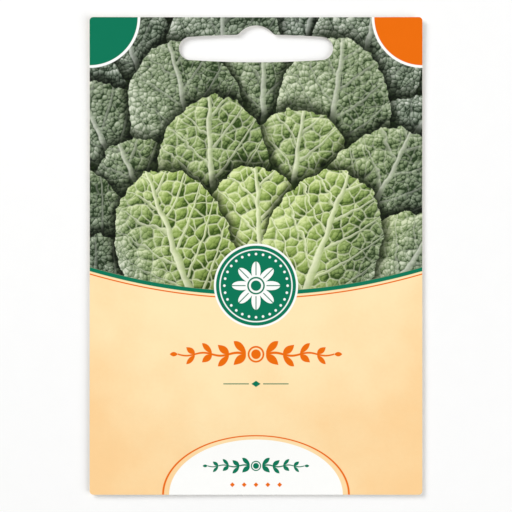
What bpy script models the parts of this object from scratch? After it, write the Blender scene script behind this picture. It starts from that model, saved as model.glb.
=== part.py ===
"""A flat seed packet with a hang slot, lying on its back.

Two thin paper sheets are sealed to each other along a flat border and across a deep header, and
trimmed together with small round corners. The slot of a display hook goes through the header.
Inside the border the sheets part into a low pocket, which holds a single layer of round seeds.

Metres, +Z up. X runs across the packet, Y up the packet towards its slot, and Z through its
thickness. The origin is the middle of the outline, on the plane that the back lies on.
"""

import math
import random

import bmesh
import bpy

# The packet's outline
PACKET_WIDTH = 0.0900
PACKET_HEIGHT = 0.1292
CORNER_RADIUS = 0.0010

# The layers, from the back sheet up to the front sheet
SHEET_THICKNESS = 0.00014
SEAL_THICKNESS = 0.00004
LAYER_CLEARANCE = 0.00002

# The sealed border and the pocket inside it
SIDE_SEAL = 0.0060
BOTTOM_SEAL = 0.0060
HEADER_SEAL = 0.0240
POCKET_CORNER_RADIUS = 0.0040
POCKET_SIDE_POWER = 2.4
POCKET_END_POWER = 3.0
RIM_LIFT = 0.0009
FRONT_BULGE = 0.0016
BACK_FLAT_SHARE = 0.55

# The slot for a display hook
SLOT_WIDTH = 0.0417
SLOT_FOOT = 0.01218
SLOT_END_RADIUS = 0.00315
SLOT_BOTTOM_BOW = 0.00060
SLOT_TOP_RISE = 0.00053
SLOT_BUMP_HEIGHT = 0.00255
SLOT_BUMP_RADIUS = 0.0059
SLOT_FILLET_RADIUS = 0.0014

# The seeds
SEED_RADIUS = 0.0010
SEED_PITCH = 0.00178
SEED_JITTER = 0.00003
SEED_ROWS = (4, 7, 8, 9, 8, 9, 8, 5)
SEED_PATCH_CENTRE = (0.0, -0.0240)
SEED_CLEARANCE = 0.00005
RANDOM_SEED = 7

# How finely the curved surfaces are cut into flat ones
POCKET_COLUMNS = 14
POCKET_ROWS = 18
CORNER_STEPS = 4
SLOT_END_STEPS = 12
SLOT_BUMP_STEPS = 12
SLOT_FILLET_STEPS = 4
SLOT_EDGE_STEPS = 6
SEED_SIDES = 8
SEED_RINGS = 4
CUTTER_REACH = 0.0060
TRIM_MARGIN = 0.0020
WELD_DISTANCE = 0.000001

# Heights and places that follow from the sizes above
BACK_RIM_TOP = RIM_LIFT + SHEET_THICKNESS
SEAL_BOTTOM = BACK_RIM_TOP + LAYER_CLEARANCE
FRONT_RIM_BOTTOM = SEAL_BOTTOM + SEAL_THICKNESS + LAYER_CLEARANCE
FRONT_RIM_TOP = FRONT_RIM_BOTTOM + SHEET_THICKNESS
POCKET_HALF_WIDTH = PACKET_WIDTH / 2 - SIDE_SEAL
POCKET_BOTTOM = -PACKET_HEIGHT / 2 + BOTTOM_SEAL
POCKET_TOP = PACKET_HEIGHT / 2 - HEADER_SEAL
POCKET_MIDDLE = (POCKET_TOP + POCKET_BOTTOM) / 2
POCKET_HALF_HEIGHT = (POCKET_TOP - POCKET_BOTTOM) / 2
SLOT_LOWEST = PACKET_HEIGHT / 2 - SLOT_FOOT
SLOT_MIDDLE = SLOT_LOWEST + SLOT_BOTTOM_BOW + SLOT_END_RADIUS


def clear_scene():
    for obj in list(bpy.data.objects):
        bpy.data.objects.remove(obj, do_unlink=True)


def collection(name):
    made = bpy.data.collections.new(name)
    bpy.context.scene.collection.children.link(made)
    return made


def material(name, colour, roughness):
    made = bpy.data.materials.new(name)
    made.use_nodes = True
    shader = made.node_tree.nodes["Principled BSDF"]
    shader.inputs["Base Color"].default_value = (*colour, 1.0)
    shader.inputs["Roughness"].default_value = roughness
    shader.inputs["Metallic"].default_value = 0.0
    return made


def arc(centre, radius, start, end, steps):
    """Points from angle start to angle end, in degrees, both ends included."""
    angles = [math.radians(start + (end - start) * i / steps) for i in range(steps + 1)]
    return [(centre[0] + radius * math.cos(a), centre[1] + radius * math.sin(a)) for a in angles]


def rounded_rectangle(low, high, radius, steps=CORNER_STEPS):
    """An outline that runs anticlockwise from its lower right corner."""
    corners = (
        ((high[0] - radius, low[1] + radius), -90),
        ((high[0] - radius, high[1] - radius), 0),
        ((low[0] + radius, high[1] - radius), 90),
        ((low[0] + radius, low[1] + radius), 180),
    )
    return [p for centre, start in corners for p in arc(centre, radius, start, start + 90, steps)]


def packet_outline():
    half_width, half_height = PACKET_WIDTH / 2, PACKET_HEIGHT / 2
    return rounded_rectangle((-half_width, -half_height), (half_width, half_height), CORNER_RADIUS)


def pocket_outline():
    low = (-POCKET_HALF_WIDTH, POCKET_BOTTOM)
    high = (POCKET_HALF_WIDTH, POCKET_TOP)
    return rounded_rectangle(low, high, POCKET_CORNER_RADIUS)


def slot_outline():
    """The hook's slot: a long body with round ends, whose foot and top edge are slightly bowed,
    and a round bump whose sides run into the top edge by fillets. The left half mirrors the
    right."""
    end_x = SLOT_WIDTH / 2 - SLOT_END_RADIUS
    end = (end_x, SLOT_MIDDLE)
    foot = [
        (end_x * i / SLOT_EDGE_STEPS, SLOT_LOWEST + SLOT_BOTTOM_BOW * (i / SLOT_EDGE_STEPS) ** 2)
        for i in range(1, SLOT_EDGE_STEPS)
    ]
    round_end = arc(end, SLOT_END_RADIUS, -90, 90, SLOT_END_STEPS)
    top_y = SLOT_MIDDLE + SLOT_END_RADIUS
    edge_y = top_y + SLOT_TOP_RISE
    bump_centre = (0.0, edge_y + SLOT_BUMP_HEIGHT - SLOT_BUMP_RADIUS)
    fillet_y = edge_y + SLOT_FILLET_RADIUS
    rise = fillet_y - bump_centre[1]
    fillet_x = math.sqrt((SLOT_BUMP_RADIUS + SLOT_FILLET_RADIUS) ** 2 - rise**2)
    meeting = math.degrees(math.atan2(rise, fillet_x))
    top_edge = []
    for i in range(1, SLOT_EDGE_STEPS):
        x = end_x + (fillet_x - end_x) * i / SLOT_EDGE_STEPS
        share = (end_x**2 - x**2) / (end_x**2 - fillet_x**2)
        top_edge.append((x, top_y + SLOT_TOP_RISE * share))
    fillet = arc((fillet_x, fillet_y), SLOT_FILLET_RADIUS, -90, meeting - 180, SLOT_FILLET_STEPS)
    bump = arc(bump_centre, SLOT_BUMP_RADIUS, meeting, 90, SLOT_BUMP_STEPS)
    right = [(0.0, SLOT_LOWEST), *foot, *round_end, *top_edge, *fillet, *bump[1:]]
    left = [(-x, y) for x, y in reversed(right[1:-1])]
    return right + left


def flat_plate(name, outlines, bottom, thickness):
    """A mesh plate with holes, made from closed outlines as a filled and extruded flat curve."""
    curve = bpy.data.curves.new(name, "CURVE")
    curve.dimensions = "2D"
    curve.fill_mode = "BOTH"
    curve.extrude = thickness / 2
    for outline in outlines:
        spline = curve.splines.new("POLY")
        spline.points.add(len(outline) - 1)
        for point, (x, y) in zip(spline.points, outline, strict=True):
            point.co = (x, y, 0.0, 1.0)
        spline.use_cyclic_u = True
    guide = bpy.data.objects.new(name + "_guide", curve)
    bpy.context.scene.collection.objects.link(guide)
    guide.location.z = bottom + thickness / 2
    bpy.context.view_layer.update()
    graph = bpy.context.evaluated_depsgraph_get()
    mesh = bpy.data.meshes.new_from_object(guide.evaluated_get(graph))
    weld(mesh)
    made = bpy.data.objects.new(name, mesh)
    made.matrix_world = guide.matrix_world
    bpy.data.objects.remove(guide, do_unlink=True)
    return made


def weld(mesh):
    work = bmesh.new()
    work.from_mesh(mesh)
    bmesh.ops.remove_doubles(work, verts=work.verts, dist=WELD_DISTANCE)
    work.to_mesh(mesh)
    work.free()


def smooth_step(share):
    """A share from 0 to 1, with a level start and end."""
    return share * share * (3 - 2 * share)


def pocket_share(x, y):
    """How far the pocket is open at a point: 0 on the sealed border, and 1 in the middle."""
    across = min(abs(x) / POCKET_HALF_WIDTH, 1.0)
    along = min(abs(y - POCKET_MIDDLE) / POCKET_HALF_HEIGHT, 1.0)
    return (1 - across**POCKET_SIDE_POWER) * (1 - along**POCKET_END_POWER)


def front_height(x, y):
    """Height of the front sheet's printed face."""
    return FRONT_RIM_TOP + FRONT_BULGE * smooth_step(pocket_share(x, y))


def back_height(x, y):
    """Height of the back sheet's outer face, which is flat where the packet lies on it."""
    return RIM_LIFT * (1 - smooth_step(min(pocket_share(x, y) / BACK_FLAT_SHARE, 1.0)))


def stations(low, high, steps, *outside):
    """Grid lines: even ones across the pocket, and those given outside it."""
    return sorted([low + (high - low) * i / steps for i in range(steps + 1)] + list(outside))


def sheet(name, height, offset, look, cutters):
    """A paper sheet: a grid bent to its height, given its thickness, then trimmed and punched."""
    reach_x = PACKET_WIDTH / 2 + TRIM_MARGIN
    reach_y = PACKET_HEIGHT / 2 + TRIM_MARGIN
    columns = stations(-POCKET_HALF_WIDTH, POCKET_HALF_WIDTH, POCKET_COLUMNS, -reach_x, reach_x)
    rows = stations(POCKET_BOTTOM, POCKET_TOP, POCKET_ROWS, -reach_y, reach_y)
    work = bmesh.new()
    bmesh.ops.create_grid(work, x_segments=len(columns) - 1, y_segments=len(rows) - 1, size=1.0)
    for vert in work.verts:
        x = columns[round((vert.co.x + 1) / 2 * (len(columns) - 1))]
        y = rows[round((vert.co.y + 1) / 2 * (len(rows) - 1))]
        vert.co = (x, y, height(x, y))
    mesh = bpy.data.meshes.new(name)
    work.to_mesh(mesh)
    work.free()
    made = bpy.data.objects.new(name, mesh)
    made.data.materials.append(look)
    wall = made.modifiers.new("paper_thickness", "SOLIDIFY")
    wall.thickness = SHEET_THICKNESS
    wall.offset = offset
    trim = made.modifiers.new("trim", "BOOLEAN")
    trim.operation = "INTERSECT"
    trim.object = cutters["trim"]
    punch = made.modifiers.new("punch", "BOOLEAN")
    punch.operation = "DIFFERENCE"
    punch.object = cutters["punch"]
    return made


def cutting_tools(into):
    """The blocks that trim the outline and punch the slot, through all layers."""
    made = {
        "trim": flat_plate("trim_block", [packet_outline()], -CUTTER_REACH, 2 * CUTTER_REACH),
        "punch": flat_plate("punch_block", [slot_outline()], -CUTTER_REACH, 2 * CUTTER_REACH),
    }
    for tool in made.values():
        tool.hide_render = True
        tool.display_type = "WIRE"
        into.objects.link(tool)
    return made


def seal_band(look):
    """The film that joins the sheets: the border and the header, open over the pocket."""
    outlines = [packet_outline(), pocket_outline(), slot_outline()]
    made = flat_plate("seal_band", outlines, SEAL_BOTTOM, SEAL_THICKNESS)
    made.data.materials.append(look)
    return made


def seed_places():
    """Middles of the seeds: centred rows that touch, each seed nudged a little. Even and odd
    counts take turns, which staggers the rows."""
    nudge = random.Random(RANDOM_SEED)
    row_pitch = SEED_PITCH * math.sqrt(3) / 2
    first_row = SEED_PATCH_CENTRE[1] - row_pitch * (len(SEED_ROWS) - 1) / 2
    height = SHEET_THICKNESS + SEED_CLEARANCE + SEED_RADIUS
    places = []
    for row, count in enumerate(SEED_ROWS):
        for column in range(count):
            x = SEED_PATCH_CENTRE[0] + (column - (count - 1) / 2) * SEED_PITCH
            y = first_row + row * row_pitch
            shift = [nudge.uniform(-SEED_JITTER, SEED_JITTER) for _ in range(2)]
            places.append((x + shift[0], y + shift[1], height))
    return places


def seed_layer(look):
    """All seeds, joined where they touch into one body."""
    heap = collection("loose_seeds")
    template = bpy.data.meshes.new("seed")
    work = bmesh.new()
    bmesh.ops.create_uvsphere(
        work, u_segments=SEED_SIDES, v_segments=SEED_RINGS, radius=SEED_RADIUS
    )
    work.to_mesh(template)
    work.free()
    first, *others = seed_places()
    for place in others:
        seed = bpy.data.objects.new("loose_seed", template)
        seed.location = place
        heap.objects.link(seed)
    base = bpy.data.objects.new("seed_base", template)
    base.location = first
    bpy.context.scene.collection.objects.link(base)
    join = base.modifiers.new("join", "BOOLEAN")
    join.operation = "UNION"
    join.operand_type = "COLLECTION"
    join.collection = heap
    join.solver = "MANIFOLD"
    bpy.context.view_layer.update()
    graph = bpy.context.evaluated_depsgraph_get()
    mesh = bpy.data.meshes.new_from_object(base.evaluated_get(graph))
    mesh.name = "seeds"
    made = bpy.data.objects.new("seeds", mesh)
    made.location = first
    made.data.materials.clear()
    made.data.materials.append(look)
    mesh.shade_smooth()
    for seed in [base, *heap.objects]:
        bpy.data.objects.remove(seed, do_unlink=True)
    bpy.data.collections.remove(heap)
    return made


def main():
    clear_scene()
    packet = collection("seed_packet")
    cutters = cutting_tools(collection("cutters"))
    front_look = material("front_print", (0.36, 0.42, 0.24), 0.45)
    back_look = material("back_print", (0.92, 0.78, 0.50), 0.50)
    film_look = material("seal_film", (0.90, 0.89, 0.85), 0.40)
    seed_look = material("seed_coat", (0.09, 0.045, 0.03), 0.60)
    pieces = [
        sheet("back_sheet", back_height, 1.0, back_look, cutters),
        seal_band(film_look),
        seed_layer(seed_look),
        sheet("front_sheet", front_height, -1.0, front_look, cutters),
    ]
    for piece in pieces:
        packet.objects.link(piece)


main()
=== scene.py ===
"""The looks of a seed packet that lies on its back.

Two printed paper sheets, the heat-seal layer between them and the seeds in the pocket are made as
surfaces worked out with numpy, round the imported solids. The print on the front is a fan of broad
crinkled leaves over a cream panel, and the back has a sowing calendar and lines for notes. Both
are drawn by shader nodes, in millimetres on the packet, with no lettering.
"""

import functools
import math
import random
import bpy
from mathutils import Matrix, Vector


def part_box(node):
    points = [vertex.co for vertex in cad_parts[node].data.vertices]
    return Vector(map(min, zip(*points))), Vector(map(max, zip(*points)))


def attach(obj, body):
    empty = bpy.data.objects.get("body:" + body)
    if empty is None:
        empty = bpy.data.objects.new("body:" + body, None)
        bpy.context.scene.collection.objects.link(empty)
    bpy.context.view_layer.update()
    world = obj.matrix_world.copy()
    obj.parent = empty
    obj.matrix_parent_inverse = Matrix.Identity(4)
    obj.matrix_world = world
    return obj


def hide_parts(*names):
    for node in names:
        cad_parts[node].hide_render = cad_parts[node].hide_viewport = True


bl_info = {
    "name": "Seed Packet",
    "version": (1, 0, 0),
    "blender": (4, 5, 0),
    "location": "3D Viewport > Sidebar > Seed Packet",
    "description": "Makes a printed seed packet with its seeds, on a pale stage",
    "category": "Object",
}

from types import SimpleNamespace

import bmesh
import bpy
import numpy as np
from bpy.props import FloatProperty, FloatVectorProperty, IntProperty, PointerProperty
from mathutils import Color, Vector

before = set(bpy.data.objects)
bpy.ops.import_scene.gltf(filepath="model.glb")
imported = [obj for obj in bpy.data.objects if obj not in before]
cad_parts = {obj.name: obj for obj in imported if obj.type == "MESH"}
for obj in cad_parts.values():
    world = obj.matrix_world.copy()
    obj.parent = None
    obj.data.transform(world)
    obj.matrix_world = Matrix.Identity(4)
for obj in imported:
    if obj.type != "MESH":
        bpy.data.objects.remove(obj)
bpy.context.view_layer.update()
FRONT_LOW, FRONT_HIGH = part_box("front_sheet")
BACK_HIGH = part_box("back_sheet")[1]
SEAL_LOW, SEAL_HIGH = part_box("seal_band")

MILLIMETRES = 1000.0
BODY = "root"


def length(name, description, default):
    return FloatProperty(
        name=name, description=description, default=default, unit="LENGTH", precision=5
    )


def ink_property(name, description, red, green, blue):
    """A colour as it is seen on a screen, from three numbers up to 255."""
    return FloatVectorProperty(
        name=name,
        description=description,
        default=(red / 255, green / 255, blue / 255),
        min=0.0,
        max=1.0,
        subtype="COLOR_GAMMA",
    )


class PacketSizes(bpy.types.PropertyGroup):
    """The paper packet."""

    corner_radius: length("Corner radius", "Radius of the trimmed corners", 0.0010)
    sheet_thickness: length("Paper", "Thickness of each sheet", 0.00014)
    side_seal: length("Side seal", "Width of the sealed border", 0.0060)
    header_seal: length("Header", "Height of the sealed header", 0.0240)
    cockle: length("Cockle", "Height of the ripples along the seals", 0.00009)
    header_curl: length("Curl", "How far the header's corners lift", 0.00045)
    grid_step: length("Grid step", "Size of the sheets' mesh faces", 0.00078)


class SlotSizes(bpy.types.PropertyGroup):
    """The slot for a display hook."""

    width: length("Width", "Slot from end to end", 0.0417)
    foot: length("Foot", "From the packet's top to the slot's lowest point", 0.01218)
    end_radius: length("End radius", "Radius of the round ends", 0.00315)
    bottom_bow: length("Bow", "How far the lower edge hangs in the middle", 0.00060)
    top_rise: length("Rise", "How far the upper edge rises to the bump", 0.00053)
    bump_height: length("Bump height", "Bump above the upper edge", 0.00255)
    bump_radius: length("Bump radius", "Radius of the bump", 0.0059)
    fillet_radius: length("Fillet", "Radius where the bump meets the edge", 0.0014)


class SeedSizes(bpy.types.PropertyGroup):
    """The seeds in the pocket."""

    pitch: length("Pitch", "Distance between neighbouring seeds", 0.00178)
    jitter: length("Jitter", "How far a seed is nudged from its place", 0.00003)
    patch_y: length("Patch", "How far below the origin the middle of the seeds is", 0.0240)
    radius: length("Radius", "Radius of the largest seed", 0.00088)
    draw: IntProperty(name="Draw", description="Seed of the random nudges", default=7)


class PrintInks(bpy.types.PropertyGroup):
    """The colours of the print."""

    gap: ink_property("Gaps", "Tint of the deepest shade between the leaves", 38, 54, 20)
    sage_dark: ink_property("Sage, dark", "Outer leaves in the shade", 34, 48, 33)
    sage_mid: ink_property("Sage, middle", "Outer leaves", 122, 135, 119)
    sage_light: ink_property("Sage, light", "Outer leaves in the light", 208, 213, 204)
    lime_dark: ink_property("Lime, dark", "Front leaves in the shade", 50, 76, 16)
    lime_mid: ink_property("Lime, middle", "Front leaves", 143, 167, 84)
    lime_light: ink_property("Lime, light", "Front leaves in the light", 220, 232, 164)
    vein: ink_property("Veins", "Ribs and veins of the front leaves", 246, 250, 210)
    cream: ink_property("Cream", "Upper part of the panel", 254, 230, 181)
    peach: ink_property("Peach", "Lower part and edges of the panel", 250, 208, 150)
    orange: ink_property("Orange", "Orange ink", 234, 108, 0)
    green: ink_property("Green", "Dark green ink", 0, 117, 85)
    grey: ink_property("Grey", "Ruled lines on the back", 150, 146, 132)


class PrintLayout(bpy.types.PropertyGroup):
    """Where the parts of the front's print are. Heights are measured from the origin."""

    picture_foot: length("Picture foot", "Lowest point of the leaf picture", -0.0095)
    arc_rise: length("Arc rise", "How far the picture's foot rises to the sides", 0.0065)
    ribbon_width: length("Ribbon", "Width of the green ribbon under the picture", 0.0011)
    badge_radius: length("Badge radius", "Radius of the round badge", 0.0108)
    badge_y: length("Badge height", "Middle of the badge", -0.0080)
    ornament_y: length("Ornament height", "Middle of the sprig", -0.0265)
    rule_y: length("Rule height", "Height of the thin green rule", -0.0345)
    arch_height: length("Arch", "Height of the white arch at the foot", 0.0150)
    arch_reach: length("Arch reach", "Half the width of the white arch", 0.0235)
    corner_tab: length("Corner tab", "Radius of the plain corner tabs", 0.0130)


class StageSettings(bpy.types.PropertyGroup):
    """Camera and lights."""

    lens: FloatProperty(name="Lens", description="Focal length", default=120.0, unit="CAMERA")
    view_width: length("View width", "What the camera sees at the packet", 0.1386)
    key_power: FloatProperty(name="Key light", description="Power", default=8.3, unit="POWER")
    fill_power: FloatProperty(name="Fill light", description="Power", default=5.7, unit="POWER")
    sky_strength: FloatProperty(name="Sky", description="Strength of the surroundings", default=0.33)


SETTINGS = {
    "packet_sizes": PacketSizes,
    "packet_slot": SlotSizes,
    "packet_seeds": SeedSizes,
    "packet_inks": PrintInks,
    "packet_layout": PrintLayout,
    "packet_stage": StageSettings,
}


# Shader nodes, written as sums

NODE_COLUMN = 190
NODE_ROW = 210
NODES_A_ROW = 12
PRINT_SOFTNESS = 0.07


def both_ways(operation):
    """The two methods that stand for a sign in a sum: with the wire before it and after it."""
    return (
        lambda wire, other: maths(operation, wire, other),
        lambda wire, other: maths(operation, other, wire),
    )


class Wire:
    """An output socket that takes part in sums like a number."""

    def __init__(self, socket):
        self.socket = socket

    __add__, __radd__ = both_ways("ADD")
    __sub__, __rsub__ = both_ways("SUBTRACT")
    __mul__, __rmul__ = both_ways("MULTIPLY")
    __truediv__, __rtruediv__ = both_ways("DIVIDE")

    def __abs__(self):
        return maths("ABSOLUTE", self)


def add_node(tree, kind, **settings):
    """Adds a node, laid out in rows so that the tree can be read in the node editor."""
    count = len(tree.nodes)
    node = tree.nodes.new(kind)
    node.location = (NODE_COLUMN * (count % NODES_A_ROW), -NODE_ROW * (count // NODES_A_ROW))
    for name, value in settings.items():
        setattr(node, name, value)
    return node


def feed(node, values):
    """Links wires to a node's inputs, or sets them to plain values, by name or by number."""
    for name, value in values.items():
        if isinstance(value, Wire):
            node.id_data.links.new(value.socket, node.inputs[name])
        else:
            node.inputs[name].default_value = value


def fed_node(kind, values, **settings):
    """Adds a node where its wires come from, feeds it and returns the wires from its outputs."""
    tree = next(value.socket.id_data for value in values.values() if isinstance(value, Wire))
    node = add_node(tree, kind, **settings)
    feed(node, values)
    return [Wire(socket) for socket in node.outputs]


def maths(operation, *values):
    return fed_node("ShaderNodeMath", dict(enumerate(values)), operation=operation)[0]


def distance(across, up):
    """How far a point is from the middle."""
    return maths("SQRT", across * across + up * up)


def nearest(value, pitch):
    """Of marks that stand a pitch apart, the number of the nearest one, and the way past it."""
    turn = value / pitch
    number = maths("ROUND", turn)
    return number, (turn - number) * pitch


def limited(value):
    """A number held between -1 and 1."""
    return maths("MINIMUM", maths("MAXIMUM", value, -1.0), 1.0)


def smooth(value, low, high):
    """0 below low, 1 above high, and a soft step between them."""
    values = {"Value": value, "From Min": low, "From Max": high}
    return fed_node("ShaderNodeMapRange", values, interpolation_type="SMOOTHSTEP")[0]


def crisp(inside):
    """A printed edge: 1 where a distance in millimetres is inside a shape, 0 outside it."""
    return smooth(inside, -PRINT_SOFTNESS, PRINT_SOFTNESS)


def stripe(off, half_width):
    """A printed line on both sides of where a distance is 0."""
    return crisp(half_width - abs(off))


def either(*masks):
    """1 where any of the masks is."""
    return functools.reduce(functools.partial(maths, "MAXIMUM"), masks)


def mix(share, first, second, kind="RGBA"):
    """Mixes colours, vectors or numbers: the first at share 0, the second at share 1."""
    low, output = {"FLOAT": (2, 0), "VECTOR": (4, 1), "RGBA": (6, 2)}[kind]
    values = {0: share, low: first, low + 1: second}
    return fed_node("ShaderNodeMix", values, data_type=kind)[output]


def split(vector):
    return fed_node("ShaderNodeSeparateXYZ", {0: vector})


def join(*parts):
    return fed_node("ShaderNodeCombineXYZ", dict(enumerate(parts)))[0]


def vector_maths(operation, first, second):
    values = {0: first, "Scale" if operation == "SCALE" else 1: second}
    return fed_node("ShaderNodeVectorMath", values, operation=operation)[0]


def noises(place, size, detail=2.0, roughness=0.5):
    """Soft noise with patches of a size in millimetres: a number from 0 to 1, and a colour."""
    values = {"Vector": place, "Scale": 1 / size, "Detail": detail, "Roughness": roughness}
    return fed_node("ShaderNodeTexNoise", values)


def noise(place, size, **settings):
    return noises(place, size, **settings)[0]


def wobble(place, size, **settings):
    """Soft noise from -0.5 to 0.5."""
    return noise(place, size, **settings) - 0.5


def cells(place, size, feature="F1"):
    """Cells of a size in millimetres: the distance from each one's middle or edge, where its size
    is 1, then a colour and the middle."""
    values = {"Vector": place, "Scale": 1 / size}
    return fed_node("ShaderNodeTexVoronoi", values, voronoi_dimensions="2D", feature=feature)


def gaps(place, size, low, high):
    """The gaps between cells: 1 up to a low distance from a cell's edge, 0 from a high one on."""
    return 1.0 - smooth(cells(place, size, "DISTANCE_TO_EDGE")[0], low, high)


def chances(number):
    """Three random numbers from 0 to 1 that belong to a number."""
    return split(fed_node("ShaderNodeTexWhiteNoise", {"W": number}, noise_dimensions="1D")[1])


def linear(ink):
    """A screen colour as the light that Blender works with."""
    return (*Color(ink[:3]).from_srgb_to_scene_linear(), 1.0)


def printed(colour, *layers):
    """Prints layers over a colour, each of them a mask and an ink."""
    for mask, ink in layers:
        colour = mix(mask, colour, linear(ink))
    return colour


def add_sockets(tree, in_out, values):
    """Gives a group a socket for each value, of the value's name and kind."""
    for name, value in values.items():
        if isinstance(value, Wire):
            kind = {"VALUE": "Float", "VECTOR": "Vector", "RGBA": "Color"}[value.socket.type]
        else:
            kind = {1: "Float", 3: "Vector", 4: "Color"}[np.size(value)]
        tree.interface.new_socket(name=name, in_out=in_out, socket_type=f"NodeSocket{kind}")


def make_group(draw, values):
    """A node group with an input for each value. draw takes the wires from the inputs and returns
    the results by name."""
    tree = bpy.data.node_groups.new(draw.__name__, "ShaderNodeTree")
    add_sockets(tree, "INPUT", values)
    entry = add_node(tree, "NodeGroupInput")
    results = draw(**{socket.name: Wire(socket) for socket in entry.outputs if socket.name})
    add_sockets(tree, "OUTPUT", results)
    feed(add_node(tree, "NodeGroupOutput"), results)
    return tree


def made_once(kept, name, make, *values):
    """What Blender already keeps under a name, or else what make adds there."""
    return kept.get(name) or make(*values)


def shared_group(draw):
    """Lets a function that turns wires into results place a node group that does so."""

    def place_group(**values):
        group = made_once(bpy.data.node_groups, draw.__name__, make_group, draw, values)
        results = fed_node("ShaderNodeGroup", values, node_tree=group)
        return {result.socket.name: result for result in results}

    return functools.update_wrapper(place_group, draw)


# Groups that the print and the paper share

FIBRE_SIZE = 0.32
PULP_SIZE = 2.6
PANEL_PATCH = 17.0
PANEL_GRAIN = 0.9
SPRIG_START = 2.7
SPRIG_LEAF_PITCH = 4.6
SPRIG_REACH = 4 * SPRIG_LEAF_PITCH
SPRIG_LEAF_HALF_LENGTH = 2.35
SPRIG_LEAF_WIDTH = 0.98
SPRIG_LEAF_TURN = math.radians(42)
SPRIG_STEM = 0.33
SPRIG_STEM_WAVE = 0.4
SPRIG_SHRINK = 0.42
SPRIG_TIP = 1.1
BUD_RADIUS = 1.3
BUD_RING = 2.0


@shared_group
def paper_fibres(place):
    """Paper fibres: a height for bump, and a faint change of tint."""
    pulp = noise(place, PULP_SIZE)
    height = noise(place, FIBRE_SIZE, detail=3.0, roughness=0.6) * 0.6 + pulp * 0.4
    return {"height": height, "tint": 0.985 + 0.03 * pulp}


@shared_group
def sandy_panel(place, spread, cream, peach):
    """A soft sandy panel: cream in the middle and peach towards a far point, with a mottle."""
    mottle = wobble(place, PANEL_PATCH) * 0.9 + wobble(place, PANEL_GRAIN) * 0.16
    return {"colour": mix(smooth(spread + mottle, 0.0, 1.0), cream, peach)}


@shared_group
def sprig_group(across, up):
    """A letterless ornament: a wavy level stem with leaf pairs that shrink outwards, a leaf at
    each tip and a bud in the middle. It takes millimetres from its middle."""
    out = abs(across)
    past = out - SPRIG_START
    on_stem = crisp(past) * crisp(SPRIG_REACH - past)
    taper = 1.06 - past * (SPRIG_SHRINK / SPRIG_REACH)
    wave = maths("SINE", past * (math.pi / SPRIG_LEAF_PITCH)) * SPRIG_STEM_WAVE
    from_stem = abs(up - wave)
    stem = crisp(SPRIG_STEM * taper - from_stem) * on_stem

    turn = past / SPRIG_LEAF_PITCH
    from_joint = (turn - maths("FLOOR", turn)) * SPRIG_LEAF_PITCH
    cosine = math.cos(SPRIG_LEAF_TURN)
    sine = math.sin(SPRIG_LEAF_TURN)
    forward = (from_joint * cosine + from_stem * sine) / (taper * SPRIG_LEAF_HALF_LENGTH) - 1.0
    sideways = from_stem * cosine - from_joint * sine
    half_width = (1.0 - forward * forward) * (taper * SPRIG_LEAF_WIDTH)
    leaf = crisp(half_width - abs(sideways - 0.15)) * on_stem

    tip = (past - SPRIG_REACH) / SPRIG_TIP - 1.0
    tip_leaf = crisp((1.0 - tip * tip) * (SPRIG_LEAF_WIDTH * 0.62) - abs(up))
    from_middle = distance(out, up)
    bud = either(crisp(BUD_RADIUS - from_middle), stripe(from_middle - BUD_RING, 0.25))
    return {"mask": either(stem, leaf, tip_leaf, bud)}


def sprig(across, up, size=1.0):
    """The sprig's mask at a size, 1 for its full width."""
    return sprig_group(across=across / size, up=up / size)["mask"]


# The leaf picture

LEAF_TIERS = 5
FAN_ROOT_Y = -52.0
BACK_START = 88.0
FRONT_START = 24.0
LEAF_LENGTH = 52.0
LEAF_HALF_WIDTH = 15.5
LEAF_SPACING = 20.5
LEAF_WIDEST = 0.60
LEAF_SHADOW = 4.2
SHADOW_FADE = 3.0
RIPPLE_SIZE = 3.4
RIPPLE_HEIGHT = 3.2
CLUMP_SIZE = 3.1
NUB_SIZE = 1.22
NET_SIZE = 3.0
SIDE_VEIN_PITCH = 8.0
SIDE_VEIN_SLANT = 0.85
LIGHT_ACROSS = -0.55
LIGHT_UP = 0.84
DEEPEST_FACING = 0.42
LEAF_INKS = (
    "gap", "sage_dark", "sage_mid", "sage_light", "lime_dark", "lime_mid", "lime_light", "vein"
)


@shared_group
def leaf_tier(place, ripple, pitch, phase, start, depth, draw, leaf, tone, shade, mark):
    """One tier of leaves that fan out round a root, none touching its neighbour in the same tier.
    It lays them over what the tiers behind drew. leaf holds the distances along the leaf, across
    it, and in from its margin, in millimetres."""
    x, y, _ = split(place)
    bearing = maths("ARCTAN2", x, y)
    reach = distance(x, y)
    turn = (bearing - phase) / pitch
    index = maths("ROUND", turn)
    first, second, third = chances(index + draw)
    off = turn - index
    swing = (off + (first - 0.5) * 0.16) * pitch
    along = reach * maths("COSINE", swing) - start - (second - 0.5) * 5.0
    share = along / LEAF_LENGTH
    across = reach * maths("SINE", swing) + (third - 0.5) * 9.0 * share * share

    stretch = share - LEAF_WIDEST
    below_rate = 1 / (LEAF_WIDEST * 1.25)
    above_rate = 1 / (1 - LEAF_WIDEST)
    upper = maths("GREATER_THAN", stretch, 0.0)
    egg = stretch * (below_rate + (above_rate - below_rate) * upper)
    round_edge = 1.0 - distance(egg, across / LEAF_HALF_WIDTH)
    inside = round_edge * LEAF_HALF_WIDTH + ripple
    cover = crisp(inside)
    to_neighbour = (0.5 - abs(off)) * pitch * reach
    shadow = smooth(inside, -LEAF_SHADOW, 0.3) * smooth(to_neighbour, 0.0, SHADOW_FADE) * 0.86
    own_tone = depth * (1.0 - smooth(abs(bearing), 0.20, 0.80) * 0.85) + (second - 0.5) * 0.22
    return {
        "leaf": mix(cover, leaf, join(along, across, inside), "VECTOR"),
        "tone": mix(cover, tone, own_tone, "FLOAT"),
        "shade": mix(cover, shade * (1.0 - shadow), 1.0, "FLOAT"),
        "mark": mix(cover, mark, third, "FLOAT"),
    }


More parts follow.
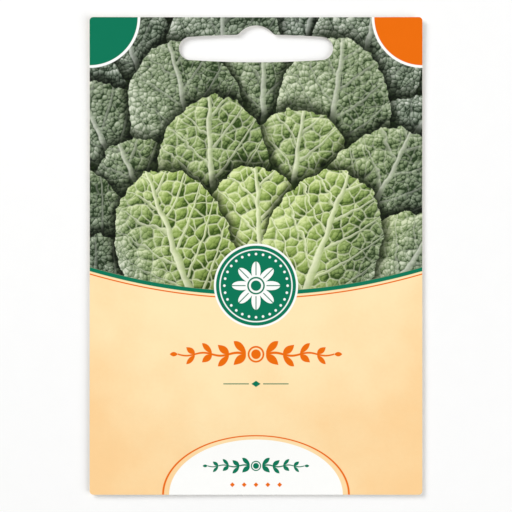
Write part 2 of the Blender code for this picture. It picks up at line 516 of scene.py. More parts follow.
def leaf_domes(place, size):
    """Blisters of one size: how far each point faces the light, and how high it lies."""
    off, _, middle = cells(place, size)[:3]
    x, y, _ = split(vector_maths("SUBTRACT", place, middle))
    facing = maths("MAXIMUM", (x * LIGHT_ACROSS + y * LIGHT_UP) / size, -DEEPEST_FACING)
    return facing, 1.0 - off * off * 1.6


def leaf_ribs(place, along, across):
    """A midrib and side veins that leave it aslant, by turns: where both are, how far they face
    the light, and where the flesh between them domes up."""
    wander = wobble(place, 9.0)
    bend = wobble(place, 3.0)
    from_rib = across + wander * 2.4 + bend
    out = abs(from_rib)
    slant = out * SIDE_VEIN_SLANT + out * out * 0.02 - maths("SIGN", from_rib) * 2.1
    above = nearest(along - slant + wander * 5.0 + bend * 2.4, SIDE_VEIN_PITCH)[1]
    side_width = 0.46 - out * 0.020
    from_side_vein = abs(above) - side_width
    side_vein = 1.0 - smooth(from_side_vein, 0.0, 0.3)
    rib_width = 1.02 - along * 0.014
    rib = 1.0 - smooth(out - rib_width, 0.0, 0.35)
    lit = mix(side_vein, 0.8, 0.5 + 0.5 * limited(above / side_width), "FLOAT")
    lit = mix(rib, lit, 0.5 - 0.5 * limited(from_rib / rib_width), "FLOAT")
    flesh = smooth(out - rib_width, 0.0, 1.5) * smooth(from_side_vein, 0.0, 1.0)
    return rib, side_vein, lit, flesh


def leaf_relief(flat_place, tone):
    """Knobs in clumps on outer leaves, at tone 0, and blisters in a net of veins on front leaves,
    at tone 1: how far they face the light, how high they are, the cracks, and the net."""
    shift = vector_maths("SCALE", noises(flat_place, 4.5)[1], 2.4)
    place = vector_maths("ADD", flat_place, shift)
    clump_facing, clump_height = leaf_domes(place, CLUMP_SIZE)
    nub_facing, nub_height = leaf_domes(place, NUB_SIZE)
    net_facing, net_height = leaf_domes(place, NET_SIZE)
    rough_facing = clump_facing * 0.42 + nub_facing * 0.80
    rough_height = clump_height * 0.45 + nub_height * 0.50
    facing = mix(tone, rough_facing, net_facing * 0.85 + nub_facing * 0.28, "FLOAT")
    height = mix(tone, rough_height, net_height * 0.6 + nub_height * 0.2, "FLOAT")
    cracks = gaps(place, NUB_SIZE, 0.0, 0.17) * 0.6 + gaps(place, CLUMP_SIZE, 0.0, 0.10) * 0.5
    return facing, height, cracks, gaps(place, NET_SIZE, 0.01, 0.11)


def leaf_tint(inks, hue, light):
    """One kind of leaf from its dark ink in the shade to its light ink in the light."""
    low, middle, high = (inks[f"{hue}_{depth}"] for depth in ("dark", "mid", "light"))
    lower = mix(smooth(light, 0.05, 0.55), low, middle)
    return mix(smooth(light, 0.45, 1.0), lower, high)


@shared_group
def leaf_surface(place, leaf, tone, shade, mark, **inks):
    """The surface of a crinkled leaf, lit from the upper left: its relief with the veins sunk in
    it, a pale midrib with side veins, a bright margin, and the shadow of the leaves in front."""
    along, across, inside = split(leaf)
    tone = smooth(tone, 0.0, 1.0)
    rib, side_vein, rib_light, flesh = leaf_ribs(place, along, across)
    facing, height, cracks, net = leaf_relief(place, tone)
    form = wobble(place, 11.0) * 0.55 - across * 0.011
    form = form + (1.0 - smooth(inside, 0.0, 3.4)) * 0.16
    form = form + (mark - 0.5) * 0.14 - (1.0 - flesh) * 0.16
    light = 0.31 + facing * 0.68 + height * 0.24 + form + wobble(place, 0.55) * 0.16
    light = maths("MAXIMUM", light - mix(tone, cracks * 0.42, cracks * 0.06, "FLOAT"), 0.0)
    flesh_tint = mix(tone, leaf_tint(inks, "sage", light), leaf_tint(inks, "lime", light))

    rib_veins = either(side_vein * (0.14 + 0.63 * tone), rib * (0.62 + 0.24 * tone))
    rib_light = 0.25 + 0.75 * rib_light
    sage_rib = mix(rib_light, inks["sage_mid"], inks["sage_light"])
    lime_rib = mix(rib_light, inks["lime_mid"], inks["vein"])
    veins = either(rib_veins, net * tone * 0.58)
    ribbed = mix(veins, flesh_tint, mix(tone, sage_rib, lime_rib))
    shade = shade * (0.40 + 0.60 * smooth(along, 4.0, 32.0))
    shadow = mix(smooth(shade, 0.0, 1.0), inks["gap"], (1.0, 1.0, 1.0, 1.0))
    return {"colour": vector_maths("MULTIPLY", ribbed, shadow)}


def leaf_picture(place, inks):
    """Tiers of leaves from the back of the fan to its front, then their surface."""
    root = vector_maths("ADD", place, (0.0, -FAN_ROOT_Y, 0.0))
    ripple = wobble(place, RIPPLE_SIZE, detail=3.0, roughness=0.55) * RIPPLE_HEIGHT
    drawn = {"leaf": (0.0, 0.0, 0.0), "tone": 0.0, "shade": 0.25, "mark": 0.0}
    for tier in range(LEAF_TIERS):
        depth = tier / (LEAF_TIERS - 1)
        start = BACK_START + (FRONT_START - BACK_START) * depth
        pitch = LEAF_SPACING / (start + LEAF_WIDEST * LEAF_LENGTH)
        for half in range(2):
            drawn = leaf_tier(
                place=root,
                ripple=ripple,
                pitch=2 * pitch,
                phase=pitch * (half + 0.5 * (tier % 2)),
                start=start + 3.5 * half,
                depth=depth**1.6,
                draw=31.7 * (2 * tier + half),
                **drawn,
            )
    colours = {name: linear(getattr(inks, name)) for name in LEAF_INKS}
    return leaf_surface(place=place, **drawn, **colours)["colour"]


# Materials

PAPER_WHITE = (0.985, 0.985, 0.975)


def material(draw):
    """Lets a function that works out a shader's inputs, from where a point is on the packet in
    millimetres, make a material of its own name."""

    def make_material(*settings):
        made = bpy.data.materials.new(draw.__name__)
        made.use_nodes = True
        tree = made.node_tree
        tree.nodes.clear()
        shader = add_node(tree, "ShaderNodeBsdfPrincipled")
        output = add_node(tree, "ShaderNodeOutputMaterial")
        tree.links.new(shader.outputs[0], output.inputs["Surface"])
        coordinates = add_node(tree, "ShaderNodeTexCoord")
        place = vector_maths("SCALE", Wire(coordinates.outputs["Object"]), MILLIMETRES)
        feed(shader, {"Specular IOR Level": 0.22, **draw(place, *settings)})
        return made

    return functools.update_wrapper(make_material, draw)


def finish(colour, roughness, height, depth):
    """A colour, a roughness and a relief of a depth in millimetres, as a shader takes them."""
    relief = {"Strength": 1.0, "Distance": depth / MILLIMETRES, "Height": height}
    normal = fed_node("ShaderNodeBump", relief)[0]
    return {"Base Color": colour, "Roughness": roughness, "Normal": normal}


def paper_finish(place, colour, bump, gloss):
    """A printed colour on paper: with fibre tint and relief, and a patchy gloss."""
    fibres = paper_fibres(place=place)
    low, high = gloss
    roughness = low + (high - low) * fibres["height"]
    tinted = vector_maths("SCALE", colour, fibres["tint"])
    return finish(tinted, roughness, fibres["height"], bump)


def in_millimetres(lengths):
    """A settings group's lengths as plain numbers of millimetres."""
    names = type(lengths).__annotations__
    return SimpleNamespace(**{name: getattr(lengths, name) * MILLIMETRES for name in names})


RULE_HALF_LENGTH = 8.8
RULE_GAP = 1.9
DIAMOND_ACROSS = 1.25
DIAMOND_UP = 0.85
TAB_BORDER = 0.7


@material
def front_print(place, inks, layout):
    """The front: leaf picture, arc with its ribbon, cream panel, badge, sprig and white foot."""
    x, y, _ = split(place)
    half_width = FRONT_HIGH.x * MILLIMETRES
    half_height = FRONT_HIGH.y * MILLIMETRES
    share = x / half_width
    under = layout.picture_foot + layout.arc_rise * (share * share) - y
    spread = 0.30 * (share * share) + under * 0.011
    paints = {"cream": linear(inks.cream), "peach": linear(inks.peach)}
    panel = sandy_panel(place=place, spread=spread, **paints)["colour"]
    colour = mix(crisp(under), leaf_picture(place, inks), panel)
    ribbon = layout.ribbon_width
    colour = printed(
        colour,
        (stripe(under - ribbon / 2, ribbon / 2), inks.green),
        (stripe(under - ribbon * 1.7, ribbon * 0.16), inks.orange),
    )
    colour = draw_arch(colour, x, y + half_height, inks, layout)
    above_rule = y - layout.rule_y
    rule = stripe(above_rule, 0.13) * stripe(x, RULE_HALF_LENGTH) * crisp(abs(x) - RULE_GAP)
    diamond = crisp((1.0 - abs(x) / DIAMOND_ACROSS - abs(above_rule) / DIAMOND_UP) * 0.6)
    colour = printed(
        colour,
        (sprig(x, y - layout.ornament_y), inks.orange),
        (either(rule, diamond), inks.green),
    )
    colour = draw_badge(colour, x, y - layout.badge_y, inks, layout.badge_radius)
    for side, ink in ((-1, inks.green), (1, inks.orange)):
        inside = layout.corner_tab - distance(x - side * half_width, y - half_height)
        colour = printed(colour, (crisp(inside + TAB_BORDER), PAPER_WHITE), (crisp(inside), ink))
    paper = paper_finish(place, colour, bump=0.006, gloss=(0.36, 0.52))
    return {"Specular IOR Level": 0.12, **paper}


ARCH_DOT_PITCH = 3.2
ARCH_DOT_RADIUS = 0.66


def draw_arch(colour, x, up, inks, layout):
    """A white arch that stands on the packet's foot, with an orange line round it, a sprig and
    five small diamonds."""
    height = layout.arch_height
    inside = (1.0 - distance(x / layout.arch_reach, up / height)) * height
    number, off = nearest(x, ARCH_DOT_PITCH)
    dots = crisp(ARCH_DOT_RADIUS - abs(up - height * 0.18) - abs(off)) * stripe(number, 2.5)
    return printed(
        colour,
        (stripe(inside + 1.05, 0.17), inks.orange),
        (crisp(inside), PAPER_WHITE),
        (sprig(x, up - height * 0.52, 0.62), inks.green),
        (dots, inks.orange),
    )


BADGE_DOTS = 28


def draw_badge(colour, x, up, inks, radius):
    """A plain round badge: a white-edged green disc, a ring, a ring of dots and a rosette."""
    out = distance(x, up)
    bearing = maths("ARCTAN2", x, up)
    along_ring = nearest(bearing, math.tau / BADGE_DOTS)[1] * (radius * 0.79)
    dots = crisp(0.34 - distance(along_ring, out - radius * 0.79))
    petals = abs(maths("COSINE", bearing * 4.0))
    rosette = crisp(radius * (0.26 + 0.34 * petals) - out)
    slits = stripe(maths("SINE", bearing * 4.0) * out * 0.25, 0.13) * crisp(out - radius * 0.26)
    eye = either(crisp(radius * 0.13 - out), stripe(out - radius * 0.20, 0.22))
    return printed(
        colour,
        (crisp(radius + 0.55 - out), PAPER_WHITE),
        (crisp(radius - out), inks.green),
        (either(stripe(out - radius * 0.90, 0.17), dots, rosette), PAPER_WHITE),
        (either(eye, slits * rosette), inks.green),
    )


BACK_CREAM = (0.97, 0.92, 0.80, 1.0)
FRAME_TOP_Y = 49.0
FRAME_INSET = 4.2
BACK_SPRIG_Y = 38.0
FOOT_SPRIG_Y = -54.5
FOOT_SPRIG_SIZE = 0.6


@material
def back_print(place, inks):
    """The back: a cream ground in a green frame, a sprig, a sowing calendar and note lines."""
    x, y, _ = split(place)
    half_width = BACK_HIGH.x * MILLIMETRES
    half_height = BACK_HIGH.y * MILLIMETRES
    share = x / half_width
    paints = {"cream": BACK_CREAM, "peach": linear(inks.cream)}
    colour = sandy_panel(place=place, spread=share * share * 0.6, **paints)["colour"]
    inset = maths("MINIMUM", half_width - abs(x), FRAME_TOP_Y - y)
    inset = maths("MINIMUM", inset, y + half_height) - FRAME_INSET
    colour = printed(
        colour,
        (either(stripe(inset, 0.20), stripe(inset - 0.8, 0.08)), inks.green),
        (sprig(x, y - BACK_SPRIG_Y), inks.green),
        (sprig(x, y - FOOT_SPRIG_Y, FOOT_SPRIG_SIZE), inks.orange),
    )
    colour = draw_calendar(colour, -1.0 * x, y, inks)
    colour = draw_sowing_depth(colour, x, y - SOIL_Y, inks)
    colour = draw_note_lines(colour, x, y, inks)
    return paper_finish(place, colour, bump=0.012, gloss=(0.50, 0.66))


CALENDAR_MIDDLE_Y = 20.0
CALENDAR_BOX_WIDTH = 5.6
CALENDAR_BOX_HEIGHT = 4.4
CALENDAR_ROWS = {1: (2, 4, "orange"), 2: (4, 6, "lime_mid"), 3: (8, 12, "green")}


def draw_calendar(colour, x, y, inks):
    """Three rows of twelve boxes, one for each month, with some of them filled."""
    down = CALENDAR_MIDDLE_Y - y
    month, off = nearest(x + 6.5 * CALENDAR_BOX_WIDTH, CALENDAR_BOX_WIDTH)
    row, below = nearest(down + 2.0 * CALENDAR_BOX_HEIGHT, CALENDAR_BOX_HEIGHT)
    from_side = CALENDAR_BOX_WIDTH / 2 - abs(off)
    box_edge = maths("MINIMUM", from_side, CALENDAR_BOX_HEIGHT / 2 - abs(below))
    inside = stripe(x, 6.0 * CALENDAR_BOX_WIDTH) * stripe(down, 1.5 * CALENDAR_BOX_HEIGHT)
    colour = printed(colour, (inside, PAPER_WHITE))
    for number, (first, last, ink) in CALENDAR_ROWS.items():
        months = stripe(month - (first + last) / 2, (last - first + 1) / 2)
        filled = months * stripe(row - number, 0.5) * crisp(box_edge - 0.45)
        colour = printed(colour, (filled * inside, getattr(inks, ink)))
    return printed(colour, (crisp(0.10 - box_edge) * inside, inks.green))


NOTES_TOP_Y = -18.0
NOTES_PITCH = 5.4
NOTES_COUNT = 6
NOTES_HALF_LENGTH = 34.0


def draw_note_lines(colour, x, y, inks):
    """Thin ruled lines to write on."""
    down = NOTES_TOP_Y - y
    block = crisp(down + 0.4 * NOTES_PITCH) * crisp((NOTES_COUNT - 0.6) * NOTES_PITCH - down)
    line = stripe(nearest(down, NOTES_PITCH)[1], 0.07)
    return printed(colour, (line * block * stripe(x, NOTES_HALF_LENGTH), inks.grey))


SOIL_Y = 1.5
SOWN_PITCH = 9.0
SOWN_DEPTH = 3.2


def draw_sowing_depth(colour, x, above, inks):
    """A line of soil with seeds sown under it, each with two seed leaves above."""
    off = nearest(x, SOWN_PITCH)[1]
    soil = stripe(above, 0.14) * stripe(x, 2.9 * SOWN_PITCH)
    row = stripe(x, 2.5 * SOWN_PITCH)
    seeds = crisp(0.75 - distance(off, above + SOWN_DEPTH)) * row
    stems = stripe(off, 0.14) * stripe(above - 1.0, 2.2)
    leaf_x = abs(off) - 1.35
    leaf_y = above - 3.5 - leaf_x * 0.35
    leaves = crisp((1.0 - distance(leaf_x / 1.304, leaf_y / 0.671)) * 0.7)
    return printed(
        colour, (either(soil, seeds), inks.orange), (either(stems, leaves) * row, inks.green)
    )


@material
def bare_paper(place):
    """The unprinted inside of the sheets."""
    return paper_finish(place, (0.86, 0.85, 0.82), bump=0.02, gloss=(0.66, 0.84))


@material
def cut_edge(place):
    """The white core that shows where the paper is cut, with torn-looking fibres."""
    grain = noise(place, 0.12)
    core = mix(grain, (0.80, 0.79, 0.75, 1.0), (0.93, 0.92, 0.90, 1.0))
    return finish(core, 0.85, grain, 0.02)


@material
def seal_film(place):
    """The heat-seal layer: milky, with the faint streaks of the sealing bars."""
    streak = noise(vector_maths("MULTIPLY", place, (0.15, 1.6, 1.0)), 1.0)
    milk = mix(streak, (0.80, 0.79, 0.75, 1.0), (0.90, 0.89, 0.86, 1.0))
    return finish(milk, 0.28 + streak * 0.22, streak, 0.01)


@material
def seed_coat(place):
    """Dry seed coat: dark red-brown with a fine net of pits and a dusty bloom."""
    dark = mix(noise(place, 0.9), (0.030, 0.016, 0.012, 1.0), (0.115, 0.060, 0.036, 1.0))
    bloom = smooth(noise(place, 0.35, detail=3.0), 0.52, 0.85) * 0.5
    colour = mix(bloom, dark, (0.26, 0.21, 0.19, 1.0))
    return finish(colour, 0.42 + bloom * 0.6, 1.0 - gaps(place, 0.16, 0.0, 0.25), 0.012)


@material
def pale_floor(place):
    """A plain pale table top with a barely visible grain."""
    grain = noise(place, 6.0, detail=3.0)
    pale = mix(grain, (0.935, 0.935, 0.93, 1.0), (0.955, 0.955, 0.95, 1.0))
    return {"Base Color": pale, "Roughness": 0.8, "Specular IOR Level": 0.15}


# The shape of the paper

RING_STEPS = 14
RING_GRADING = 1.25
CORNER_STEPS = 5
HEADER_SIDE_STEPS = 30
SLOT_SAMPLES = 60
SHARP_ANGLE = math.radians(40)


def path(x, y):
    """Points from their coordinates, where one of the two may be the same for all of them."""
    return np.stack(np.broadcast_arrays(x, y), axis=-1)


def arc(centre, radius, start, end, steps=SLOT_SAMPLES):
    """Points round a centre from one angle to another, in degrees, both ends included."""
    angles = np.radians(np.linspace(start, end, steps + 1))
    return centre + radius * path(np.cos(angles), np.sin(angles))


def mirrored(points):
    """The same path on the other side of the middle, run backwards."""
    return points[::-1] * (-1.0, 1.0)


def spaced(points, count):
    """A path's points at equal steps of its length: the length up to each point is summed, and
    both coordinates are read off at even lengths."""
    steps = np.linalg.norm(np.diff(points, axis=0), axis=1)
    lengths = np.concatenate([[0.0], np.cumsum(steps)])
    even = np.linspace(0.0, lengths[-1], count)
    return path(*(np.interp(even, lengths, values) for values in points.T))


def slot_sides(slot, top_y):
    """The slot's edge in four paths, anticlockwise: its foot, right end, top with the bump, and
    left end. The foot is a parabola, the ends are half circles, the top edges rise on a parabola
    to the bump, and the bump is a circle that runs into them by two more."""
    low = top_y - slot.foot
    middle = low + slot.bottom_bow + slot.end_radius
    top = middle + slot.end_radius
    end_x = slot.width / 2 - slot.end_radius
    end = (end_x, middle)
    foot_x = np.linspace(0.0, end_x, SLOT_SAMPLES)
    foot = path(foot_x, low + slot.bottom_bow * (foot_x / end_x) ** 2)
    half_foot = np.concatenate([foot, arc(end, slot.end_radius, -90, -45)])
    right = arc(end, slot.end_radius, -45, 45)

    bump_y = top + slot.top_rise + slot.bump_height - slot.bump_radius
    fillet_y = top + slot.top_rise + slot.fillet_radius
    rise = fillet_y - bump_y
    fillet_x = math.sqrt((slot.bump_radius + slot.fillet_radius) ** 2 - rise**2)
    meeting = math.degrees(math.atan2(rise, fillet_x))
    top_x = np.linspace(end_x, fillet_x, SLOT_SAMPLES)
    risen = (end_x**2 - top_x**2) / (end_x**2 - fillet_x**2)
    half_top = np.concatenate([
        arc(end, slot.end_radius, 45, 90),
        path(top_x, top + slot.top_rise * risen)[1:-1],
        arc((fillet_x, fillet_y), slot.fillet_radius, -90, meeting - 180),
        arc((0.0, bump_y), slot.bump_radius, meeting, 90),
    ])
    foot_path = np.concatenate([mirrored(half_foot), half_foot[1:]])
    top_path = np.concatenate([half_top, mirrored(half_top)[1:]])
    return foot_path, right, top_path, mirrored(right)


def header_sides(columns, header_y, top_y, radius):
    """The header's outer edge in four paths, anticlockwise, from its lower left corner. Each
    rounded corner is split in its middle."""
    corner = (columns[-1] - radius, top_y - radius)
    right_edge = path(columns[-1], np.linspace(header_y, corner[1], HEADER_SIDE_STEPS))
    right = np.concatenate([right_edge, arc(corner, radius, 0, 45, CORNER_STEPS)[1:]])
    top_right = arc(corner, radius, 45, 90, CORNER_STEPS)
    top_edge = path(np.linspace(corner[0], -corner[0], len(columns))[1:-1], top_y)
    top = np.concatenate([top_right, top_edge, mirrored(top_right)])
    return path(columns, header_y), right, top, mirrored(right)


def grid_faces(index):
    """Four-sided faces between the neighbours of a table of point numbers."""
    corners = (index[..., :-1, :-1], index[..., :-1, 1:], index[..., 1:, 1:], index[..., 1:, :-1])
    return np.stack(corners, axis=-1).reshape(-1, 4)


def steps_between(low, high, step):
    return np.linspace(low, high, max(round((high - low) / step), 2) + 1)


def body_grid(sizes, pocket_x, pocket_low, header_y):
    """The packet below its header: a grid whose lowest rows draw in to round its corners. A row
    at height h above the foot is narrower by r - sqrt(r*r - (r - h)**2) on each side."""
    radius = sizes.corner_radius
    half_width = FRONT_HIGH.x
    border = steps_between(pocket_x, half_width, sizes.grid_step)
    inner = steps_between(-pocket_x, pocket_x, sizes.grid_step)
    columns = np.concatenate([-border[::-1], inner[1:-1], border])
    angles = np.radians(np.linspace(0, 90, 2 * CORNER_STEPS + 1))
    corner_rows = -FRONT_HIGH.y + radius * (1 - np.cos(angles))
    lower = steps_between(corner_rows[-1], pocket_low, sizes.grid_step)
    upper = steps_between(pocket_low, header_y, sizes.grid_step)
    rows = np.concatenate([corner_rows, lower[1:], upper[1:]])
    narrower = np.zeros(len(rows))
    narrower[: len(angles)] = radius - radius * np.sin(angles)
    x = columns * (1 - narrower[:, None] / half_width)
    return path(x, rows[:, None]), columns


def packet_plan(sizes, slot):
    """The packet's flat mesh: points, faces, and which faces are sealed. Above the body's grid,
    the header is a ring of rows between the slot's edge and the header's outer edge, each a mix
    of the two, and shares the grid's top row."""
    top_y = FRONT_HIGH.y
    pocket_x = FRONT_HIGH.x - sizes.side_seal
    pocket_low = -top_y + sizes.side_seal
    header_y = top_y - sizes.header_seal
    body, columns = body_grid(sizes, pocket_x, pocket_low, header_y)
    outer_sides = header_sides(columns, header_y, top_y, sizes.corner_radius)
    outer = np.concatenate([side[:-1] for side in outer_sides])
    pairs = zip(slot_sides(slot, top_y), outer_sides, strict=True)
    edge = np.concatenate([spaced(near, len(far))[:-1] for near, far in pairs])
    share = np.linspace(0.0, 1.0, RING_STEPS + 1)[:, None, None] ** RING_GRADING
    ring = edge * (1 - share) + outer * share

    index = np.arange(body[..., 0].size + ring[..., 0].size)
    body_index = index[: body[..., 0].size].reshape(body.shape[:2])
    ring_index = index[body_index.size :].reshape(ring.shape[:2])
    ring_index[-1, : len(columns)] = body_index[-1]
    ring_index = np.concatenate([ring_index, ring_index[:, :1]], axis=1)
    points = np.concatenate([body.reshape(-1, 2), ring.reshape(-1, 2)])
    faces = np.concatenate([grid_faces(body_index), grid_faces(ring_index)[:, ::-1]])
    x, y = points[faces].mean(axis=1).T
    unsealed = (np.abs(x) < pocket_x) & (y > pocket_low) & (y < header_y)
    return points, faces, ~unsealed


def pocket_share(sizes, points):
    """How far the pocket is open: (1 - across**2.4) * (1 - along**3), where across and along run
    from 0 in its middle to 1 at its seals."""
    pocket_x = FRONT_HIGH.x - sizes.side_seal
    low = -FRONT_HIGH.y + sizes.side_seal
    high = FRONT_HIGH.y - sizes.header_seal
    across = np.clip(np.abs(points[:, 0]) / pocket_x, 0, 1)
    along = np.clip(np.abs(points[:, 1] - (low + high) / 2) / ((high - low) / 2), 0, 1)
    return (1 - across**2.4) * (1 - along**3.0), across, along


def level_ends(share):
    """A share from 0 to 1, eased so that it starts and ends level: 3 s**2 - 2 s**3."""
    return share * share * (3 - 2 * share)


def paper_lie(sizes, points):
    """How the whole packet is out of flat at its border: a slow wave that grows with the eighth
    power of the distance from the middle, and a curl at the header's corners."""
    across = points[:, 0] / FRONT_HIGH.x
    up = points[:, 1] / FRONT_HIGH.y
    border = np.maximum(np.abs(across), np.abs(up)) ** 8
    wave = np.sin(points[:, 0] * 68 + 1.1) * np.sin(points[:, 1] * 47 + 0.5)
    curl = np.clip((up - 0.4) / 0.6, 0, 1) ** 2 * across**2
    return border * wave * 0.00016 + curl * sizes.header_curl


def cockles(sizes, points, phase):
    """Ripples that run square to the seals and die out towards the middle: a sine of the way
    along the nearer seal, largest where the pocket is half open."""
    share, across, along = pocket_share(sizes, points)
    x, y = points.T
    side = across**4 / (across**4 + along**4 + 1e-6)
    near_side = np.sin(y * 610 + 0.9 * np.sin(y * 130) + phase)
    near_end = np.sin(x * 540 + 1.2 * np.sin(x * 110 + 1.0) - phase)
    slow = 0.6 + 0.4 * np.sin(x * 90 + y * 70 + phase)
    ripple = side * near_side + (1 - side) * near_end
    return sizes.cockle * 4 * share * (1 - share) * slow * ripple


def front_height(sizes, points):
    """Underside of the front sheet: it swells over the pocket."""
    swell = FRONT_HIGH.z - FRONT_LOW.z - sizes.sheet_thickness - sizes.cockle
    share = level_ends(pocket_share(sizes, points)[0])
    return FRONT_LOW.z + swell * share + paper_lie(sizes, points) + cockles(sizes, points, 0.0)


BACK_FLAT_SHARE = 0.55


def back_height(sizes, points):
    """Underside of the back sheet: it sinks to a wide flat spot under the pocket."""
    lift = BACK_HIGH.z - sizes.sheet_thickness
    share = np.clip(pocket_share(sizes, points)[0] / BACK_FLAT_SHARE, 0, 1)
    rest = 1 - level_ends(share)
    return lift * rest + (paper_lie(sizes, points) + cockles(sizes, points, 2.0)) * rest


def rim_faces(faces, count):
    """Faces that close a sheet between its lower and upper skins, along each side of a face
    that no other face shares."""
    start = faces.reshape(-1)
    end = np.roll(faces, -1, axis=1).reshape(-1)
    outer = ~np.isin(start * count + end, end * count + start)
    start = start[outer]
    end = end[outer]
    return np.stack([start, end, end + count, start + count], axis=1)


def mesh_object(name, points, faces, materials):
    """A new smooth piece from points and four-sided faces."""
    mesh = bpy.data.meshes.new(name)
    mesh.from_pydata(points.reshape(-1, 3), [], faces.tolist())
    for look in materials:
        mesh.materials.append(look)
    mesh.shade_smooth()
    made = bpy.data.objects.new(name, mesh)
    bpy.context.scene.collection.objects.link(made)
    return made


def add_to_packet(piece, node):
    """Makes a piece stand for a solid, which it hides, and ride on its body."""
    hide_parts(node)
    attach(piece, BODY)


def add_layer(name, node, plan, height, thickness, materials, printed_up=True):
    """A closed layer of the packet over its flat plan: a lower skin at a height, an upper skin at
    the layer's thickness over it, and a rim between them. The printed skin takes the first
    material, the other skin the second and the cut rim the third."""
    points, faces = plan
    used, faces = np.unique(faces, return_inverse=True)
    faces = faces.reshape(-1, 4)
    count = len(used)
    lower = np.column_stack([points[used], height[used]])
    upper = lower + (0.0, 0.0, thickness)
    skins = (faces[:, ::-1], faces + count, rim_faces(faces, count))
    piece = mesh_object(name, np.concatenate([lower, upper]), np.concatenate(skins), materials)
    index = np.repeat((int(printed_up), int(not printed_up), 2), [len(skin) for skin in skins])
    piece.data.polygons.foreach_set("material_index", index.astype(np.int32))
    piece.data.set_sharp_from_angle(angle=SHARP_ANGLE)
    add_to_packet(piece, node)


def add_sheet(scene, name, node, look, height, printed_up=True):
    """A whole sheet of paper: printed on one side, bare on the other, white where it is cut."""
    sizes = scene.packet_sizes
    points, faces, _ = packet_plan(sizes, scene.packet_slot)
    plan = (points, faces)
    bare = made_once(bpy.data.materials, "bare_paper", bare_paper)
    looks = (look, bare, made_once(bpy.data.materials, "cut_edge", cut_edge))
    add_layer(name, node, plan, height(sizes, points), sizes.sheet_thickness, looks, printed_up)


# The seeds

SEED_ROWS = (4, 7, 8, 9, 8, 9, 8, 5)
SEED_RINGS = 12
SEED_SIDES = 18
WELD_DISTANCE = 1e-7


def seed_places(seeds):
    """Middles of the seeds over the sheet: centred rows, each seed nudged a little."""
    nudge = random.Random(seeds.draw)
    row_pitch = seeds.pitch * math.sqrt(3) / 2
    first_row = -seeds.patch_y - row_pitch * (len(SEED_ROWS) - 1) / 2
    places = []
    for row, count in enumerate(SEED_ROWS):
        for column in range(count):
            x = (column - (count - 1) / 2) * seeds.pitch
            shift = [nudge.uniform(-seeds.jitter, seeds.jitter) for _ in range(2)]
            places.append((x + shift[0], first_row + row * row_pitch + shift[1]))
    return np.array(places)


def seed_points(seeds, floor):
    """All seeds at once: spheres whose radius is r * (1 + 0.03 sin(3 a + p) sin(2 b) - dent),
    where a runs round a seed and b from pole to pole, p is the seed's own number, and the dent
    is a small pit at the hilum. Each seed has its own size."""
    places = seed_places(seeds)
    number = np.arange(len(places))[:, None, None]
    radius = seeds.radius * (0.93 + 0.07 * np.sin(number * 2.4) ** 2)
    down = np.linspace(0, math.pi, SEED_RINGS + 1)[None, :, None]
    turn = np.linspace(0, math.tau, SEED_SIDES + 1)[None, None, :]
    lumps = 0.03 * np.sin(3 * turn + number) * np.sin(2 * down)
    dent = 0.10 * np.exp(-((down - 1.1) ** 2 + (np.cos(turn - number) - 1) ** 2 * 2) * 9)
    size = radius * (1 + (lumps - dent) * np.sin(down))
    x = places[:, 0, None, None] + size * np.sin(down) * np.cos(turn)
    y = places[:, 1, None, None] + size * np.sin(down) * np.sin(turn)
    z = floor + radius + size * np.cos(down)
    return np.stack([x, y, z], axis=-1)


def weld(mesh):
    """Merges the points that lie on each other, at the seams and the poles."""
    work = bmesh.new()
    work.from_mesh(mesh)
    bmesh.ops.remove_doubles(work, verts=work.verts, dist=WELD_DISTANCE)
    work.to_mesh(mesh)
    work.free()


# Operators


class MakePart(bpy.types.Operator):
    """What the packet's operators share."""

    bl_options = {"REGISTER", "UNDO"}


class PACKET_OT_front_sheet(MakePart):
    """Make the printed front sheet with its hook slot"""

    bl_idname = "packet.front_sheet"
    bl_label = "Front sheet"

    def execute(self, context):
        scene = context.scene
        look = front_print(scene.packet_inks, in_millimetres(scene.packet_layout))
        add_sheet(scene, "front_paper", "front_sheet", look, front_height)
        return {"FINISHED"}


class PACKET_OT_back_sheet(MakePart):
    """Make the printed back sheet with its hook slot"""

    bl_idname = "packet.back_sheet"
    bl_label = "Back sheet"

    def execute(self, context):
        scene = context.scene
        look = back_print(scene.packet_inks)
        add_sheet(scene, "back_paper", "back_sheet", look, back_height, printed_up=False)
        return {"FINISHED"}


class PACKET_OT_seal(MakePart):
    """Make the heat-seal layer between the sheets"""

    bl_idname = "packet.seal"
    bl_label = "Seal"

    def execute(self, context):
        scene = context.scene
        sizes = scene.packet_sizes
        points, faces, sealed = packet_plan(sizes, scene.packet_slot)
        height = SEAL_LOW.z + paper_lie(sizes, points)
        looks = (seal_film(),) * 3
        plan = (points, faces[sealed])
        add_layer("seal_layer", "seal_band", plan, height, SEAL_HIGH.z - SEAL_LOW.z, looks)
        return {"FINISHED"}


class PACKET_OT_seeds(MakePart):
    """Make the seeds in the pocket"""

    bl_idname = "packet.seeds"
    bl_label = "Seeds"

    def execute(self, context):
        scene = context.scene
        points = seed_points(scene.packet_seeds, scene.packet_sizes.sheet_thickness)
        index = np.arange(points[..., 0].size).reshape(points.shape[:-1])
        faces = grid_faces(index)[:, ::-1]
        piece = mesh_object("loose_seeds", points, faces, (seed_coat(),))
        weld(piece.data)
        add_to_packet(piece, "seeds")
        return {"FINISHED"}


FLOOR_REACH = 3.0
LAMPS = {
    "key": ((-0.62, 0.55, 0.75), 0.60),
    "fill": ((0.70, -0.30, 0.70), 0.80),
}


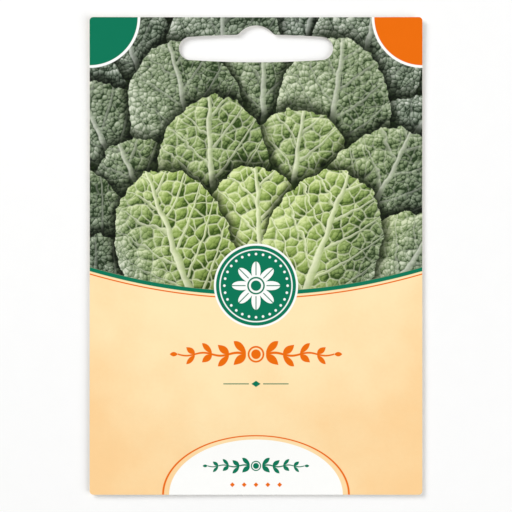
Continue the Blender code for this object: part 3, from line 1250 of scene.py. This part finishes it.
class PACKET_OT_stage(MakePart):
    """Make the pale floor, the soft lights and the camera that looks straight down"""

    bl_idname = "packet.stage"
    bl_label = "Stage"

    def execute(self, context):
        scene = context.scene
        stage = scene.packet_stage
        corners = np.array([(-1, -1, 0), (1, -1, 0), (1, 1, 0), (-1, 1, 0)]) * FLOOR_REACH
        mesh_object("floor", corners, np.array([[0, 1, 2, 3]]), (pale_floor(),))

        scene.world = bpy.data.worlds.new("pale_room")
        scene.world.use_nodes = True
        sky = scene.world.node_tree.nodes["Background"]
        feed(sky, {"Color": (1.0, 1.0, 1.0, 1.0), "Strength": stage.sky_strength})
        for name, (place, size) in LAMPS.items():
            light = bpy.data.lights.new(f"{name}_light", "AREA")
            light.size = size
            light.energy = getattr(stage, f"{name}_power")
            lamp = bpy.data.objects.new(light.name, light)
            lamp.location = place
            lamp.rotation_euler = (-Vector(place)).to_track_quat("-Z", "Y").to_euler()
            scene.collection.objects.link(lamp)

        data = bpy.data.cameras.new("camera")
        data.lens = stage.lens
        data.clip_start = 0.01
        height = stage.view_width * data.lens / data.sensor_width
        camera = bpy.data.objects.new("camera", data)
        camera.location = (0.0, 0.0, FRONT_LOW.z + height)
        scene.collection.objects.link(camera)
        scene.camera = camera
        scene.view_settings.view_transform = "Standard"
        return {"FINISHED"}


class PACKET_PT_panel(bpy.types.Panel):
    """Lists the packet's operators and settings"""

    bl_idname = "PACKET_PT_panel"
    bl_label = "Seed Packet"
    bl_space_type = "VIEW_3D"
    bl_region_type = "UI"
    bl_category = "Seed Packet"

    def draw(self, context):
        for operator in OPERATORS:
            self.layout.operator(operator.bl_idname)
        for label in SETTINGS:
            box = self.layout.box()
            group = getattr(context.scene, label)
            for name in type(group).__annotations__:
                box.prop(group, name)


OPERATORS = (
    PACKET_OT_front_sheet,
    PACKET_OT_back_sheet,
    PACKET_OT_seal,
    PACKET_OT_seeds,
    PACKET_OT_stage,
)
CLASSES = (*SETTINGS.values(), *OPERATORS, PACKET_PT_panel)


def register():
    for cls in CLASSES:
        bpy.utils.register_class(cls)
    for label, group in SETTINGS.items():
        setattr(bpy.types.Scene, label, PointerProperty(type=group))


def unregister():
    for label in SETTINGS:
        delattr(bpy.types.Scene, label)
    for cls in reversed(CLASSES):
        bpy.utils.unregister_class(cls)


def main():
    register()
    bpy.ops.packet.front_sheet()
    bpy.ops.packet.back_sheet()
    bpy.ops.packet.seal()
    bpy.ops.packet.seeds()
    bpy.ops.packet.stage()


if __name__ == "__main__":
    main()
